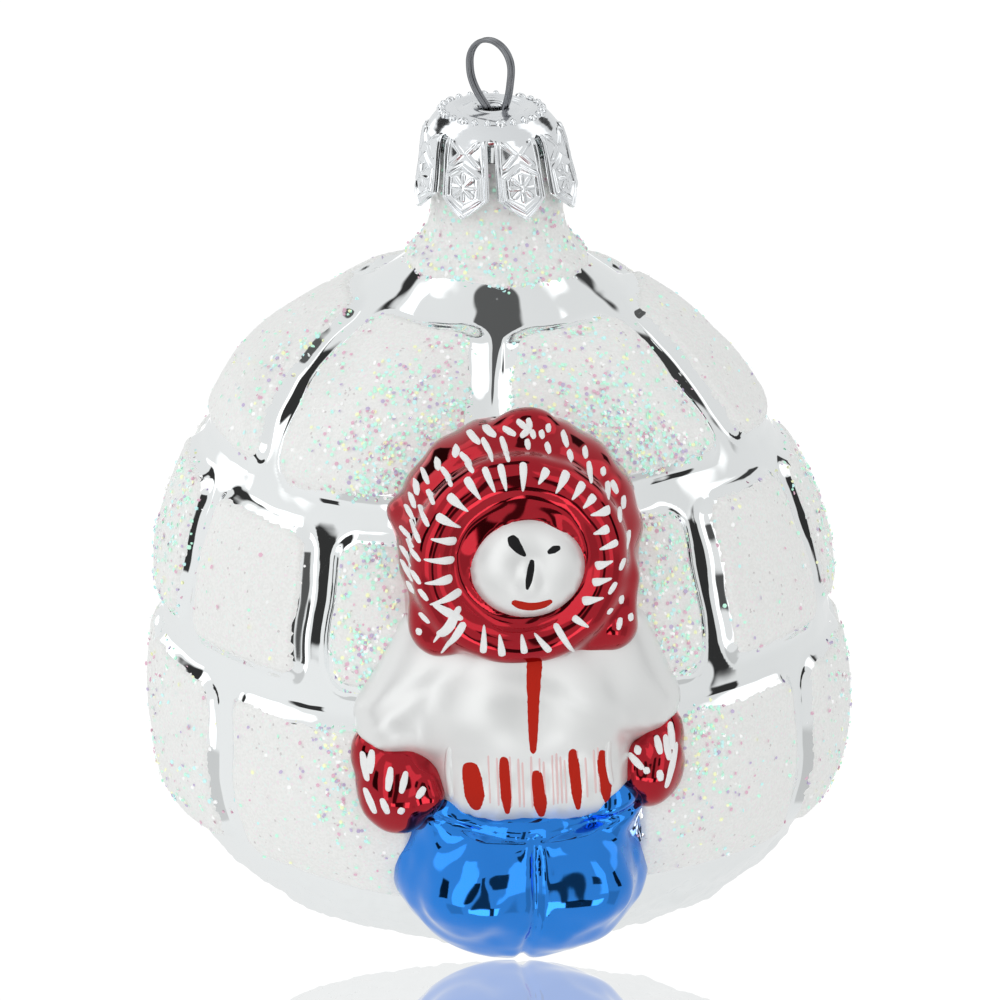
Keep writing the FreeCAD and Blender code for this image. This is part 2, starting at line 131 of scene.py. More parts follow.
def grid_faces(rows, cols, wrap=False, flip=False):
    """Quads of a rows x cols lattice of points, row-major."""
    c = cols if wrap else cols - 1
    i, j = np.meshgrid(np.arange(rows - 1), np.arange(c), indexing="ij")
    i, j = i.ravel(), j.ravel()
    k = (j + 1) % cols
    q = np.stack([i * cols + j, i * cols + k, (i + 1) * cols + k, (i + 1) * cols + j], 1)
    return q[:, ::-1] if flip else q


def compact(verts, faces):
    """Drops the points that no face uses."""
    used, back = np.unique(faces, return_inverse=True)
    return verts.reshape(-1, 3)[used], back.reshape(faces.shape)


def surface_net(dist, lo, hi, h):
    """Quads of the surface where dist(points) is zero, found on a lattice of pitch h."""
    axes = [np.arange(a, b + h, h) for a, b in zip(lo, hi)]
    grid = np.stack(np.meshgrid(*axes, indexing="ij"), -1)
    val = dist(grid.reshape(-1, 3)).reshape(grid.shape[:3])
    n = np.array(val.shape) - 1
    total, count = np.zeros((*n, 3)), np.zeros(n)
    for axis in range(3):
        a, b = [slice(None)] * 3, [slice(None)] * 3
        a[axis], b[axis] = slice(None, -1), slice(1, None)
        va, vb = val[tuple(a)], val[tuple(b)]
        cross = (va < 0) != (vb < 0)
        t = np.where(cross, va / np.where(cross, va - vb, 1), 0)
        point = grid[tuple(a)] + 0
        point[..., axis] += t * h
        others = [k for k in range(3) if k != axis]
        for s in (0, 1):
            for r in (0, 1):
                cut = [slice(None)] * 3
                cut[others[0]] = slice(s, s + n[others[0]])
                cut[others[1]] = slice(r, r + n[others[1]])
                c = cross[tuple(cut)]
                total += np.where(c[..., None], point[tuple(cut)], 0)
                count += c
    live = count > 0
    index = np.full(n, -1)
    index[live] = np.arange(live.sum())
    verts = total[live] / count[live][:, None]
    faces = []
    for axis in range(3):
        a, b = [slice(None)] * 3, [slice(None)] * 3
        a[axis], b[axis] = slice(None, -1), slice(1, None)
        va, vb = val[tuple(a)], val[tuple(b)]
        cross = (va < 0) != (vb < 0)
        o = [(axis + 1) % 3, (axis + 2) % 3]
        at = np.argwhere(cross)
        at = at[(at[:, o[0]] > 0) & (at[:, o[0]] < n[o[0]]) & (at[:, o[1]] > 0) & (at[:, o[1]] < n[o[1]])]
        quad = []
        for s, r in ((-1, -1), (0, -1), (0, 0), (-1, 0)):
            c = at.copy()
            c[:, o[0]] += s
            c[:, o[1]] += r
            quad.append(index[tuple(c.T)])
        quad = np.stack(quad, 1)
        turn = va[tuple(at.T)] < 0
        faces.append(np.where(turn[:, None], quad, quad[:, ::-1]))
    faces = np.concatenate(faces)
    faces = faces[(faces >= 0).all(1)]
    for _ in range(3):
        verts -= gradient(dist, verts) * dist(verts)[:, None] * 0.9
    return verts, faces


def gradient(dist, p, e=0.05):
    g = np.stack([dist(p + d) - dist(p - d) for d in np.eye(3) * e], -1) / (2 * e)
    return g / np.maximum(np.linalg.norm(g, axis=-1, keepdims=True), 0.2)


# ------------------------------------------------------------ materials
def material(name, color, metallic=0.0, rough=0.5, coat=0.0, coat_rough=0.03, ior=1.45):
    m = bpy.data.materials.new(name)
    m.use_nodes = True
    p = m.node_tree.nodes["Principled BSDF"]
    p.inputs["Base Color"].default_value = (*color, 1)
    p.inputs["Metallic"].default_value = metallic
    p.inputs["Roughness"].default_value = rough
    p.inputs["IOR"].default_value = ior
    p.inputs["Coat Weight"].default_value = coat
    p.inputs["Coat Roughness"].default_value = coat_rough
    return m


def node(m, kind, **props):
    n = m.node_tree.nodes.new(kind)
    for k, v in props.items():
        setattr(n, k, v)
    return n


def link(m, a, b):
    m.node_tree.links.new(a, b)


def add_bump(m, scale, strength, distance, detail=2.0, kind="ShaderNodeTexNoise"):
    """Fine relief in object space on a material's normal."""
    coord = node(m, "ShaderNodeTexCoord")
    tex = node(m, kind)
    tex.inputs["Scale"].default_value = scale
    if kind == "ShaderNodeTexNoise":
        tex.inputs["Detail"].default_value = detail
    b = node(m, "ShaderNodeBump")
    b.inputs["Strength"].default_value = strength
    b.inputs["Distance"].default_value = distance
    link(m, coord.outputs["Object"], tex.inputs["Vector"])
    link(m, tex.outputs[0], b.inputs["Height"])
    link(m, b.outputs["Normal"], m.node_tree.nodes["Principled BSDF"].inputs["Normal"])
    return m


silver = add_bump(material("silvered_glass", (0.93, 0.945, 0.95), 1.0, 0.035), 260, 0.06, 0.0002)
red = add_bump(material("red_lacquer", (0.40, 0.005, 0.016), 1.0, 0.07, coat=0.4), 330, 0.08, 0.0002)
blue = add_bump(material("blue_lacquer", (0.012, 0.225, 0.78), 1.0, 0.06, coat=0.5), 300, 0.08, 0.0002)
satin = add_bump(material("satin_white", (0.86, 0.86, 0.855), 0.45, 0.36, coat=0.1, coat_rough=0.2),
                 420, 0.06, 0.0002)
white_paint = material("white_paint", (0.92, 0.92, 0.92), 0.0, 0.4)
black_paint = material("black_paint", (0.012, 0.012, 0.013), 0.0, 0.4, ior=1.2)
orange_paint = material("orange_red_paint", (0.50, 0.020, 0.010), 0.0, 0.5, ior=1.15)
pink_wash = material("pink_wash", (0.84, 0.60, 0.60), 0.1, 0.5)
cap_metal = add_bump(material("cap_metal", (0.86, 0.875, 0.895), 1.0, 0.12), 700, 0.10, 0.00015)
wire_metal = material("hanger_steel", (0.24, 0.245, 0.26), 1.0, 0.28)


def glitter_snow():
    """Sugary coat: pale grains, each with its own tilt and a faint tint."""
    m = material("glitter_snow", (0.9, 0.9, 0.89), 0.08, 0.42)
    p = m.node_tree.nodes["Principled BSDF"]
    coord = node(m, "ShaderNodeTexCoord")
    cells = node(m, "ShaderNodeTexVoronoi")
    cells.inputs["Scale"].default_value = 4600
    ramp = node(m, "ShaderNodeValToRGB")
    ramp.color_ramp.interpolation = "CONSTANT"
    stops = [(0.0, (0.93, 0.925, 0.91)), (0.30, (0.96, 0.955, 0.94)), (0.62, (0.985, 0.98, 0.965)),
             (0.90, (0.93, 0.985, 0.96)), (0.955, (0.98, 0.90, 0.93)), (0.992, (0.74, 0.70, 0.70))]
    while len(ramp.color_ramp.elements) < len(stops):
        ramp.color_ramp.elements.new(0.5)
    for e, (at, c) in zip(ramp.color_ramp.elements, stops):
        e.position, e.color = at, (*c, 1)
    split = node(m, "ShaderNodeSeparateColor")
    tilt = node(m, "ShaderNodeBump")
    tilt.inputs["Strength"].default_value = 0.34
    tilt.inputs["Distance"].default_value = 0.00022
    link(m, coord.outputs["Object"], cells.inputs["Vector"])
    link(m, cells.outputs["Color"], split.inputs["Color"])
    link(m, split.outputs["Red"], ramp.inputs["Fac"])
    link(m, ramp.outputs["Color"], p.inputs["Base Color"])
    link(m, split.outputs["Green"], tilt.inputs["Height"])
    link(m, tilt.outputs["Normal"], p.inputs["Normal"])
    return m


snow = glitter_snow()
FLAKES = {
    "mint": ((0.58, 1.0, 0.80), 0.30), "cyan": ((0.62, 0.97, 0.96), 0.17),
    "pink": ((0.90, 0.56, 0.70), 0.14), "lilac": ((0.66, 0.56, 0.80), 0.11),
    "yellow": ((0.97, 1.0, 0.62), 0.11), "pale": ((1.0, 1.0, 1.0), 0.17),
}
flake_mats = {k: material("flake_" + k, c, 0.0, 0.22) for k, (c, w) in FLAKES.items()}
# All flakes but the pink and lilac ones glow faintly in their own colour: painted glint, so their tint shows
# where no light catches them.
for key, m in flake_mats.items():
    shader = m.node_tree.nodes["Principled BSDF"]
    shader.inputs["Emission Color"].default_value = (*FLAKES[key][0], 1)
    shader.inputs["Emission Strength"].default_value = 0.0 if key in ("pink", "lilac") else 0.14


# ------------------------------------------------------- dome's profile
# Channel floor from the neck down: (r, z).
FLOOR = [
    (4.4, 51.4), (5.1, 50.2), (5.5, 48.8), (5.85, 47.0), (6.0, 44.5), (6.05, 42.5), (6.1, 40.8),
    (6.6, 39.3), (8.0, 38.0), (9.5, 36.5), (11.5, 35.1), (13.9, 33.4), (17.6, 31.1), (21.5, 28.0),
    (25.1, 24.0), (27.9, 19.6), (29.4, 16.6), (30.9, 12.4), (32.5, 7.2), (33.2, 1.8), (33.6, -2.6),
    (34.0, -7.8), (33.8, -11.8), (33.0, -15.4), (31.4, -18.5), (29.2, -21.8), (26.4, -24.7),
    (22.8, -27.1), (18.0, -29.0), (12.0, -29.8), (6.0, -30.25), (0.0, -30.35),
]
RISE = 1.0


def build_profile():
    pts = np.array(FLOOR)
    pts = np.vstack([pts, (pts[-2::-1] * (-1, 1))[:6]])
    d = np.r_[0, np.cumsum(np.hypot(*np.diff(pts, axis=0).T))]
    end = d[len(FLOOR) - 1]
    s = np.arange(0, d[-1], 0.1)
    r, z = np.interp(s, d, pts[:, 0]), np.interp(s, d, pts[:, 1])
    k = np.exp(-0.5 * (np.arange(-40, 41) / 13) ** 2)
    k /= k.sum()
    pad = lambda a: np.r_[2 * a[0] - a[40:0:-1], a, np.full(40, a[-1])]
    r, z = np.convolve(pad(r), k, "valid"), np.convolve(pad(z), k, "valid")
    keep = s <= end
    return s[keep], np.maximum(r[keep], 0), z[keep]


PS, PR, PZ = build_profile()
S_END = PS[-1]
NR, NZ = np.gradient(PZ), np.gradient(PR)
LEN = np.hypot(NR, NZ)
NR, NZ = -NR / LEN, NZ / LEN


def s_of_z(z):
    return np.interp(-np.asarray(z, float), -PZ, PS)


def radius_at(z):
    return np.interp(-np.asarray(z, float), -PZ, PR)


# Rings and upright channels; azimuths in degrees from the front.
RING_Z = {0: (36.6, 33.6), 1: (20.2, 17.3), 2: (1.9, -1.1), 3: (-18.2, -18.2)}
JOINTS = {
    1: [(-66, -56), (-3.5, -3.5), (58, 57), (118, 118), (178, 178), (236, 236)],
    2: [(-37, -37), (0, 0), (38, 36.5), (71, 71), (108, 108), (144, 144), (180, 180), (216, 216),
        (252, 252), (289, 289)],
    3: [(-57.5, -57), (-16.5, -16.5), (16.5, 16.5), (57.5, 57), (91, 91), (126, 126), (160, 160),
        (200, 200), (234, 234), (269, 269)],
}
GAP = {1: 2.9, 2: 2.7, 3: 2.5}


def ring_shift(k, az):
    """How far ring k sinks (mm) at an azimuth: the mould's rings are not level."""
    a = (az + 180) % 360 - 180
    if k == 0:
        return 0.25 * np.sin(np.radians(a * 2 + 40))
    if k == 1:
        return 1.1 * bump(a, -38, 26) - 0.9 * bump(a, 42, 26)
    if k == 2:
        return 0.8 * bump(a, -32, 26) - 0.2 * bump(a, 40, 26) - 0.5 * bump(np.abs(a), 88, 25)
    return 2.6 * bump(a, -22, 26) + 0.3 * np.sin(np.radians(a * 3))


def block_distance(az, s):
    """Distance inside a block's edge (negative in a channel) and its number."""
    r = np.interp(s, PS, PR)
    best = np.full(np.broadcast(az, s).shape, -9.0)
    owner = np.zeros(best.shape, int)
    for course in (1, 2, 3):
        top = s_of_z(RING_Z[course - 1][1]) + ring_shift(course - 1, az)
        low = s_of_z(RING_Z[course][0]) + ring_shift(course, az)
        t = np.clip((s - top) / (low - top), 0, 1)
        joints = JOINTS[course]
        for k, (a0, a1) in enumerate(joints):
            b0, b1 = joints[(k + 1) % len(joints)]
            if k == len(joints) - 1:
                b0, b1 = b0 + 360, b1 + 360
            left, right = a0 + (a1 - a0) * t, b0 + (b1 - b0) * t
            mid, half = (left + right) / 2, (right - left) / 2
            off = (az - mid + 180) % 360 - 180
            across = np.radians(half - np.abs(off)) * r - GAP[course] / 2
            along = np.minimum(s - top, low - s)
            wob = 0.22 * np.sin(az * 0.11 + k * 2.1 + course) + 0.15 * np.sin(s * 0.7 + k)
            round_r = 2.6
            qx, qy = round_r - across - wob, round_r - along - 0.5 * wob
            d = round_r - (np.hypot(np.maximum(qx, 0), np.maximum(qy, 0))
                           + np.minimum(np.maximum(qx, qy), 0))
            closer = d > best
            best = np.where(closer, d, best)
            owner = np.where(closer, course * 100 + k, owner)
    return best, owner


def lift(az, s):
    """Height of the glass over the channel floor."""
    d, owner = block_distance(az, s)
    # Most channels have a flat floor; the one over the hood is rounder.
    off = (az + 3.5 + 180) % 360 - 180
    foot = -0.75 - 0.75 * bump(off, 0, 10) * smooth(s_of_z(17), s_of_z(20), s)
    h = RISE * smooth(0, 1, (d - foot) / (1.35 - foot)) + 0.35 * smooth(0.5, 6.0, d)
    p = skin_point(az, s, 0)
    under = smooth(s_of_z(-19.5), s_of_z(-22.5), s)
    h = h + under * (0.42 * vnoise(p, 0.30, 3) + 0.26 * vnoise(p, 0.75, 5) + 0.10 * vnoise(p, 1.7, 6))
    h = h + 0.10 * vnoise(p, 0.16, 9) + 0.035 * vnoise(p, 0.55, 12)
    return h, d, owner


def lean(z):
    """How far the blown dome leans off its axis at a height."""
    return np.interp(z, [-5, 0, 9, 19, 28, 35, 40, 46], [0, -0.2, -0.6, -0.9, -1.3, -0.3, -0.15, 0])


def skin_point(az, s, h):
    """Point over the profile at azimuth, arc length and height, as (x, f, z)."""
    r, z = np.interp(s, PS, PR), np.interp(s, PS, PZ)
    r, z = r + h * np.interp(s, PS, NR), z + h * np.interp(s, PS, NZ)
    a = np.radians(az)
    return np.stack(np.broadcast_arrays(r * np.sin(a) + lean(z), r * np.cos(a), z + 0 * a), -1)


# --------------------------------------------------------------- figure
def ellipse(p, c, h, tilt=0.0):
    """Rough signed distance to an ellipsoid, turned by tilt degrees about f."""
    q = p - np.array(c, float)
    if tilt:
        a = math.radians(tilt)
        q = np.stack([q[:, 0] * math.cos(a) + q[:, 2] * math.sin(a), q[:, 1],
                      -q[:, 0] * math.sin(a) + q[:, 2] * math.cos(a)], 1)
    h = np.array(h, float)
    k0 = np.linalg.norm(q / h, axis=1)
    k1 = np.linalg.norm(q / (h * h), axis=1)
    return k0 * (k0 - 1) / np.maximum(k1, 1e-6)


def capsule(p, a, b, ra, rb):
    a, b = np.array(a, float), np.array(b, float)
    t = np.clip((p - a) @ (b - a) / ((b - a) @ (b - a)), 0, 1)
    return np.linalg.norm(p - a - t[:, None] * (b - a), axis=1) - (ra + (rb - ra) * t)


def ring(p, c, big, small):
    """Torus whose hole faces forward."""
    q = p - np.array(c, float)
    return np.hypot(np.hypot(q[:, 0], q[:, 2]) - big, q[:, 1]) - small


def join(a, b, k):
    h = np.clip(0.5 + 0.5 * (b - a) / k, 0, 1)
    return b + (a - b) * h - k * h * (1 - h)


def dome(p):
    rho = np.hypot(p[:, 0] - lean(p[:, 2]), p[:, 1])
    return (rho - radius_at(p[:, 2])) * np.interp(-p[:, 2], -PZ, NR)


def hood(p):
    q = p - (-0.5, 0, 18.0)
    ang = np.arctan2(q[:, 2], q[:, 0])
    rad = np.hypot(q[:, 0], q[:, 2])
    wave = 0.10 * np.sin(ang * 17 + 0.6) * smooth(8, 11.5, rad) + 0.20 * vnoise(p, 0.33, 4)
    ball = ellipse(p, (-0.4, 30.4, 18.7), (12.2, 9.0, 11.2)) - wave
    q = np.abs(p - (-0.2, 31.3, 12.1)) - (8.5, 2.9, 2.4)
    cape = np.linalg.norm(np.maximum(q, 0), axis=1) + np.minimum(q.max(1), 0) - 2.9 - wave
    tips = np.minimum(ellipse(p, (0.2, 31.2, 29.5), (2.6, 1.9, 1.5), 8),
                      ellipse(p, (-11.8, 29.4, 20.3), (1.4, 1.6, 1.0)))
    roll = ring(p, (-0.8, 36.5, 17.2), 8.5, 2.35) - 0.12 * vnoise(p, 0.4, 8)
    return join(join(join(ball, cape, 2.2), tips, 1.7), roll, 0.8)


def face(p):
    head = ellipse(p, (-0.1, 37.7, 17.0), (5.75, 3.2, 5.35))
    nose = ellipse(p, (-0.1, 40.4, 16.6), (0.8, 0.75, 1.6))
    return join(head, nose, 0.9)


def parka(p):
    body = ellipse(p, (0.2, 29.8, 1.2), (12.8, 9.6, 10.6))
    left = capsule(p, (-8.3, 30.4, 7.2), (-12.4, 31.0, -0.6), 4.5, 4.4)
    right = capsule(p, (8.4, 30.6, 7.2), (11.8, 30.2, 0.6), 4.4, 3.95)
    # Each cuff is cut on a slant over its mitten.
    left = np.maximum(left, -3.8 - p[:, 2] - 0.42 * (p[:, 0] + 12.5))
    right = np.maximum(right, -2.6 - p[:, 2] + 0.62 * (p[:, 0] - 12.5))
    d = join(join(body, left, 2.6), right, 2.6)
    band = capsule(p, (-2.4, 30.6, -5.3), (4.2, 30.6, -5.2), 7.5, 7.4)
    low = -10.3 + 0.018 * (p[:, 0] - 0.8) ** 2
    band = np.maximum(band, np.maximum(low - p[:, 2], p[:, 2] + 1.5))
    rib = 0.04 * np.sin(p[:, 0] * 3.6) * smooth(-1.6, -3.4, p[:, 2])
    d = join(np.maximum(d, -6.6 - p[:, 2]), band - rib, 0.8)
    # Soft folds: across the chest, and one running in from each armpit.
    for side in (-1, 1):
        line = p[:, 0] * side - 9.4 + 0.35 * (p[:, 2] - 2.0)
        d = d + 0.20 * bump(line, 0, 1.5) * smooth(7, 2, p[:, 2])
    d = d + 0.16 * bump(p[:, 2], 5.4 - 0.04 * (p[:, 0] + 4) ** 2, 1.0)
    return d + 0.10 * vnoise(p, 0.26, 21)


def mitten(p, side):
    if side < 0:
        d = ellipse(p, (-12.3, 32.4, -7.3), (4.4, 4.1, 4.9), 6)
        d = join(d, ellipse(p, (-15.0, 31.0, -3.6), (2.0, 2.6, 2.8), -25), 0.9)
        d = join(d, ellipse(p, (-9.6, 34.4, -7.4), (1.6, 2.0, 2.5)), 0.8)
    else:
        d = ellipse(p, (12.8, 31.6, -6.0), (3.2, 3.9, 4.5), -12)
        d = join(d, ellipse(p, (14.3, 30.4, -2.0), (1.5, 2.4, 2.6), 25), 0.9)
        d = join(d, ellipse(p, (10.9, 33.6, -5.6), (1.3, 1.7, 2.3)), 0.8)
    return d + 0.16 * vnoise(p, 0.5, 31 + side)


def trousers(p):
    d = ellipse(p, (-0.1, 30.0, -16.6), (12.7, 9.3, 9.6))
    knee = np.minimum(ellipse(p, (-5.0, 36.2, -17.2), (4.6, 3.4, 4.2)),
                      ellipse(p, (6.2, 36.0, -17.0), (4.2, 3.3, 3.8)))
    d = join(d, knee, 2.2)
    waist = np.minimum(ellipse(p, (-7.2, 31.6, -10.4), (3.6, 4.4, 3.4)),
                       ellipse(p, (8.6, 31.6, -9.4), (3.4, 4.6, 4.2)))
    d = join(d, waist, 1.6)
    crease = p[:, 0] - 0.7 + 0.9 * smooth(-20, -24, p[:, 2])
    d = d + 0.55 * bump(crease, 0, 0.55) * smooth(-10.5, -13.5, p[:, 2])
    d = d + 0.45 * bump(p[:, 2], -11.6 + 0.02 * p[:, 0] ** 2, 0.45)
    return d + 0.34 * vnoise(p, 0.27, 41) + 0.12 * vnoise(p, 0.6, 43)


def figure_all(p):
    return np.minimum.reduce([hood(p), face(p), parka(p), mitten(p, -1), mitten(p, 1), trousers(p)])


def seated(shape, depth=0.9):
    """The part of a shape that stands out of the glass."""
    return lambda p: np.maximum(shape(p), -(dome(p) + depth))


parts = [
    ("hood", lambda p: np.maximum(hood(p), -(face(p) + 0.25)), (-14.5, 24, 4), (14.5, 43, 34), red,
     "red_lacquer", 0.30),
    ("face", face, (-7, 31, 10.5), (6.5, 43, 23.5), satin, "satin_white", 0.25),
    ("parka", parka, (-19, 24, -11.5), (19.5, 43, 13.5), satin, "satin_white", 0.32),
    ("mitten_left", lambda p: mitten(p, -1), (-19, 25, -13), (-6.5, 39, 0.5), red, "red_lacquer", 0.25),
    ("mitten_right", lambda p: mitten(p, 1), (7, 24, -12), (18.5, 38, 2.5), red, "red_lacquer", 0.25),
    ("trousers", trousers, (-15, 19, -28.5), (15, 42, -4.5), blue, "blue_lacquer", 0.32),
]
for name, shape, lo, hi, mat, slot_name, pitch in parts:
    verts, faces = surface_net(seated(shape), lo, hi, pitch)
    make_mesh(name + "_glass", verts, faces, mat, replaces=[name])


# ------------------------------------------------- silvered glass and snow
def dome_pieces():
    cols, rows = 760, 350
    az = np.arange(cols) * 360 / cols
    s = np.linspace(1.0, S_END, rows)
    A, S = np.meshgrid(az, s)
    h, d, owner = lift(A, S)
    pts = skin_point(A, S, h)
    flat = pts.reshape(-1, 3)
    fig = np.full(len(flat), 9.0)
    near = (flat[:, 1] > 18) & (np.abs(flat[:, 0]) < 20)
    fig[near] = figure_all(flat[near])
    faces = grid_faces(rows, cols, wrap=True, flip=True)
    hidden = (d.ravel() > 1.9) | (fig < -0.9)
    faces = faces[~hidden[faces].all(1)]
    verts, faces = compact(flat, faces)
    make_mesh("dome_silver", verts, faces, silver, replaces=["glass_shell"])


BEHIND_FIGURE = (3, 1)          # course and number of the block that isn't there


def snow_pieces():
    """A glittered skin over each block, sinking into the glass at its edge."""
    for course in (1, 2, 3):
        joints = JOINTS[course]
        for k, (a0, a1) in enumerate(joints):
            if (course, k) == BEHIND_FIGURE:
                continue
            b0, b1 = joints[(k + 1) % len(joints)]
            if k == len(joints) - 1:
                b0, b1 = b0 + 360, b1 + 360
            top = s_of_z(RING_Z[course - 1][1]) - 1.2
            low = s_of_z(RING_Z[course][0]) + 3.2
            lo, hi = min(a0, a1) - 1, max(b0, b1) + 1
            s = np.arange(top, low, 0.34)
            width = math.radians(hi - lo) * np.interp((top + low) / 2, PS, PR)
            az = np.linspace(lo, hi, int(width / 0.34))
            A, S = np.meshgrid(az, s)
            h, d, owner = lift(A, S)
            base = skin_point(A, S, h)
            edge = d - 0.42 + 0.22 * vnoise(base, 1.6, 51) + 0.12 * vnoise(base, 3.5, 52)
            coat = -0.12 + 0.26 * smooth(0, 0.5, edge) + 0.035 * vnoise(base, 2.6, 53)
            pts = skin_point(A, S, h + coat)
            mine = owner == course * 100 + k
            good = (mine & (edge > -0.5)).ravel()
            flat = pts.reshape(-1, 3)
            near = (flat[:, 1] > 18) & (np.abs(flat[:, 0]) < 20)
            good[near] &= figure_all(flat[near]) > -0.9
            faces = grid_faces(len(s), len(az), flip=True)
            faces = faces[good[faces].all(1)]
            if len(faces) < 40:
                continue
            verts, faces = compact(flat, faces)
            make_mesh(f"snow_{course}_{k + 1}", verts, faces, snow,
                      replaces=[f"course_{course}_block_{k + 1}"])
            SKINS.append((verts, faces, course))


SKINS = []


def collar_piece():
    """Glitter round the neck, thick and lumpy, down to the top channel."""
    cols = 300
    az = np.arange(cols) * 360 / cols
    s = np.arange(s_of_z(48.4), s_of_z(35.6), 0.17)
    A, S = np.meshgrid(az, s)
    base = skin_point(A, S, 0)
    wob = 0.45 * vnoise(base, 0.35, 61) + 0.25 * vnoise(base, 1.2, 62)
    edge = s_of_z(36.75) - S + wob
    coat = -0.12 + 0.62 * smooth(0, 0.9, edge) + 0.10 * vnoise(base, 1.5, 63) + 0.05 * vnoise(base, 3.2, 64)
    pts = skin_point(A, S, coat)
    faces = grid_faces(len(s), cols, wrap=True, flip=True)
    good = (edge > -0.5).ravel()
    verts, faces = compact(pts.reshape(-1, 3), faces[good[faces].all(1)])
    make_mesh("collar_snow", verts, faces, snow, replaces=["neck_collar"])
    SKINS.append((verts, faces, 0))


dome_pieces()
snow_pieces()
collar_piece()


def flake_density_and_glint(p, course):
    """Flakes per square millimetre at a point: a thin even scatter, plus dense patches where the glitter
    catches the light, so the patches are painted glint.
    """
    az = np.degrees(np.arctan2(p[:, 0], p[:, 1]))
    z = p[:, 2]
    if course == 0:
        return 1.1 + 3.0 * bump(az, 4, 40) * smooth(44, 38, z)
    base = 0.12 + 0 * z
    if course == 1:
        base = base + 8.5 * bump(az, -21, 15) * bump(z, 22, 8) + 7.5 * bump(az, 20, 14) * bump(z, 23, 9)
        base = base + 2.4 * bump(az, -66, 10) * bump(z, 31, 5) + 4.0 * bump(az, 42, 9) * bump(z, 20, 6)
    if course == 2:
        base = base + 4.6 * bump(az, -27, 6) + 3.8 * bump(az, 27, 7) + 1.3 * bump(np.abs(az), 84, 12)
    if course == 3:
        base = base + 4.0 * bump(np.abs(az), 30, 6) * smooth(-18, -2, z) + 0.7 * bump(np.abs(az), 78, 14)
    return base


def flakes():
    names = list(FLAKES)
    weights = np.array([FLAKES[n][1] for n in names])
    placed = {n: [] for n in names}
    for verts, faces, course in SKINS:
        a, b, c, d = [verts[faces[:, k]] for k in range(4)]
        normal = np.cross(d - b, c - a)
        area = np.linalg.norm(normal, axis=1) / 2
        normal = normal / np.maximum(2 * area[:, None], 1e-9)
        centre = (a + b + c + d) / 4
        rate = flake_density_and_glint(centre, course) * area
        clump = np.clip(1 + 0.9 * vnoise(centre, 0.45, 71), 0.1, None)
        n = rng.poisson(rate * clump)
        pick = np.repeat(np.arange(len(faces)), n)
        if not len(pick):
            continue
        u, w = rng.random((2, len(pick), 1))
        at = a[pick] * (1 - u) * (1 - w) + b[pick] * u * (1 - w) + c[pick] * u * w + d[pick] * (1 - u) * w
        kind = rng.choice(len(names), len(pick), p=weights / weights.sum())
        tilt = normal[pick] + rng.normal(0, 0.30, (len(pick), 3))
        tilt /= np.linalg.norm(tilt, axis=1)[:, None]
        at = at + normal[pick] * rng.uniform(0.07, 0.16, (len(pick), 1))
        size = rng.uniform(0.13, 0.24, len(pick))
        inside = (np.abs(at[:, 0]) < 35.1) & (at[:, 1] > -35.1)
        for k, name in enumerate(names):
            m = (kind == k) & inside
            placed[name].append((at[m], tilt[m], size[m]))
    for name, groups in placed.items():
        at, nrm, size = [np.concatenate([g[i] for g in groups]) for i in range(3)]
        side = np.cross(nrm, rng.normal(0, 1, nrm.shape))
        side /= np.linalg.norm(side, axis=1)[:, None]
        up = np.cross(nrm, side)
        ang = np.arange(6) * TAU / 6
        pts = (at[:, None] + size[:, None, None] * (side[:, None] * np.cos(ang)[:, None]
                                                    + up[:, None] * np.sin(ang)[:, None]))
        i = np.arange(len(at))[:, None] * 6
        quads = np.concatenate([i + (0, 1, 2, 3), i + (0, 3, 4, 5)])
        make_mesh("flakes_" + name, pts.reshape(-1, 3), quads, flake_mats[name],
                  flat=True)


flakes()


# -------------------------------------------------------------- painting
def hit(x, z, shape, start=46.0):
    """Forward-facing surface point over (x, z), marching back from the front."""
    p = np.stack([x, np.full_like(x, start), z], 1)
    for _ in range(60):
        step = shape(p)
        p[:, 1] = np.maximum(p[:, 1] - np.clip(step, -0.5, 3) * 0.8, 31.2)
    for _ in range(6):
        p -= gradient(shape, p) * shape(p)[:, None] * 0.8
    return p


def strokes(name, shape, items, mat, height=0.10):
    """Raised brush strokes; each is ([(x, z), ...], [half widths], ...)."""
    verts, faces, base = [], [], 0
    for path, widths in items:
        path = np.array(path, float)
        t = np.linspace(0, 1, 13)
        k = np.linspace(0, 1, len(path))
        if len(path) == 2:
            line = np.stack([np.interp(t, k, path[:, i]) for i in (0, 1)], 1)
        else:
            coef = [np.polyfit(k, path[:, i], min(len(path) - 1, 3)) for i in (0, 1)]
            line = np.stack([np.polyval(c, t) for c in coef], 1)
        w = np.interp(t, np.linspace(0, 1, len(widths)), widths)
        w = w * np.sqrt(np.clip(1 - (2 * t - 1) ** 8, 0.02, 1))
        tan = np.gradient(line, axis=0)
        tan /= np.linalg.norm(tan, axis=1)[:, None]
        across = np.stack([-tan[:, 1], tan[:, 0]], 1)
        c = np.linspace(-1, 1, 7)
        flat = line[:, None] + across[:, None] * (w[:, None] * c)[..., None]
        p = hit(flat[..., 0].ravel(), flat[..., 1].ravel(), shape)
        n = gradient(shape, p)
        round_across = np.sqrt(np.clip(1 - c ** 2, 0, 1))
        round_along = np.sqrt(np.clip(1 - (2 * t - 1) ** 6, 0, 1))
        dome_h = round_across[None] * round_along[:, None]
        p = p + n * (-0.05 + (height + 0.05) * dome_h.ravel())[:, None]
        verts.append(p)
        faces.append(grid_faces(13, 7) + base)
        base += len(p)
    return make_mesh(name, np.concatenate(verts), np.concatenate(faces), mat)


